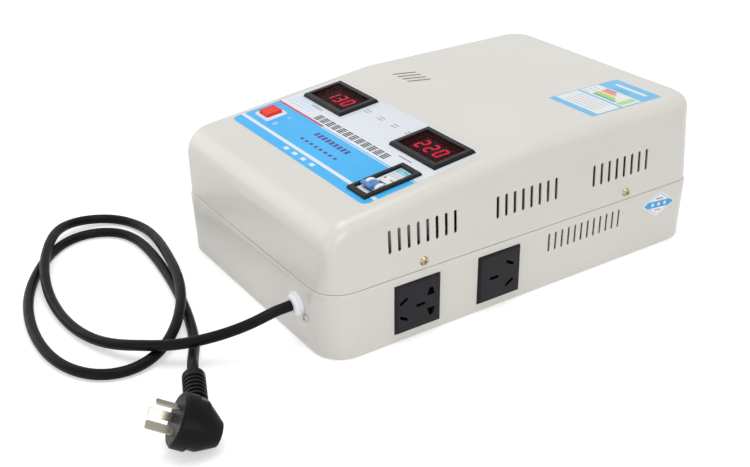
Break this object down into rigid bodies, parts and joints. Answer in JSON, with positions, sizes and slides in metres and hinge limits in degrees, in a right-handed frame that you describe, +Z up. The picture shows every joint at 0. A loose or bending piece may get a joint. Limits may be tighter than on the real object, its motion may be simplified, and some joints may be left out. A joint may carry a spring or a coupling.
{
  "type": "voltage stabilizer",
  "caption": "Flat automatic voltage stabilizer: moulded case with sloped panel, digital meters, delay button, breaker, side outlets, corded plug, and a motor-driven ring transformer inside.",
  "frame": {"origin": "centre of the casing's underside, on the surface it stands on", "axes": "+X towards the outlets, +Y away from the end the cord leaves, +Z up"},
  "size_m": [0.3987, 0.5912, 0.1413],
  "materials": {
    "casing": "satin ivory-grey moulded plastic",
    "panel_print": "printed film, sky blue",
    "dark_plastic": "dark grey moulded plastic",
    "red_window": "dark red tinted acrylic",
    "lit_digit": "glowing display bars",
    "circuit_board": "green epoxy board with parts",
    "white_plastic": "white moulded plastic",
    "red_plastic": "red moulded plastic",
    "grey_plastic": "pale grey moulded plastic",
    "blue_plastic": "blue moulded plastic",
    "outlet_plastic": "charcoal moulded plastic",
    "zinc_steel": "zinc plated steel",
    "yellow_zinc": "yellow zinc plated steel",
    "brass": "plain brass",
    "pin_metal": "nickel plated brass",
    "copper": "enamelled winding wire",
    "core_steel": "wound silicon steel strip",
    "pad_board": "insulating pressboard",
    "motor_metal": "painted motor can with gears and windings",
    "alloy": "die cast and extruded aluminium",
    "carbon": "pressed carbon",
    "rubber": "black flexible rubber",
    "wire_red": "red wire insulation",
    "wire_blue": "blue wire insulation",
    "wire_green": "green and yellow wire insulation",
    "sticker": "printed paper label"
  },
  "bodies": {
    "root": {"base_pan": "casing", "top_cover": "casing", "cover_screws": "yellow_zinc", "panel_label": "panel_print", "input_meter_bezel": "dark_plastic", "input_meter_window": "red_window", "input_meter_digits": "lit_digit", "input_meter_board": "circuit_board", "output_meter_bezel": "dark_plastic", "output_meter_window": "red_window", "output_meter_digits": "lit_digit", "output_meter_board": "circuit_board", "button_frame": "white_plastic", "button_switch": "dark_plastic", "breaker_frame": "dark_plastic", "breaker_body": "grey_plastic", "breaker_bracket": "zinc_steel", "universal_outlet": "outlet_plastic", "three_pin_outlet": "outlet_plastic", "outlet_boxes": "grey_plastic", "outlet_terminals": "brass", "cord_bushing": "white_plastic", "bushing_nut": "white_plastic", "earth_screw": "zinc_steel", "power_cord": "rubber", "plug_body": "rubber", "plug_pins": "pin_metal", "chassis_plate": "zinc_steel", "chassis_screws": "zinc_steel", "ring_pad": "pad_board", "ring_core": "core_steel", "ring_winding": "copper", "brush_track": "copper", "clamp_pad": "pad_board", "clamp_plate": "alloy", "clamp_bolts": "zinc_steel", "drive_motor": "motor_metal", "travel_stop": "zinc_steel", "control_board": "circuit_board", "board_screws": "zinc_steel", "board_relays": "blue_plastic", "board_capacitors": "dark_plastic", "board_transformer": "core_steel", "heat_sink": "alloy", "output_relay": "grey_plastic", "terminal_block": "dark_plastic", "live_wires": "wire_red", "neutral_wires": "wire_blue", "earth_wires": "wire_green", "top_label": "sticker", "check_sticker": "sticker"},
    "toggle": {"breaker_toggle": "blue_plastic"},
    "button": {"button_cap": "red_plastic"},
    "brush_drive": {"brush_shaft": "zinc_steel", "brush_arm": "alloy", "carbon_brush": "carbon"}
  },
  "joints": [
    {"name": "breaker_lever", "type": "hinge", "parent": "root", "child": "toggle", "pos_m": [0.0925, -0.13213, 0.12155], "axis": [-1, 0, 0], "range_deg": [0, 82]},
    {"name": "button_press", "type": "slide", "parent": "root", "child": "button", "axis": [0, -0.1167, 0.9932], "range_m": [-0.003, 0], "stiffness_N_per_m": 400, "springref_m": 0.002},
    {"name": "brush_turn", "type": "hinge", "parent": "root", "child": "brush_drive", "pos_m": [0, 0.088, 0.09], "axis": [0, 0, 1], "range_deg": [-160, 160]}
  ]
}
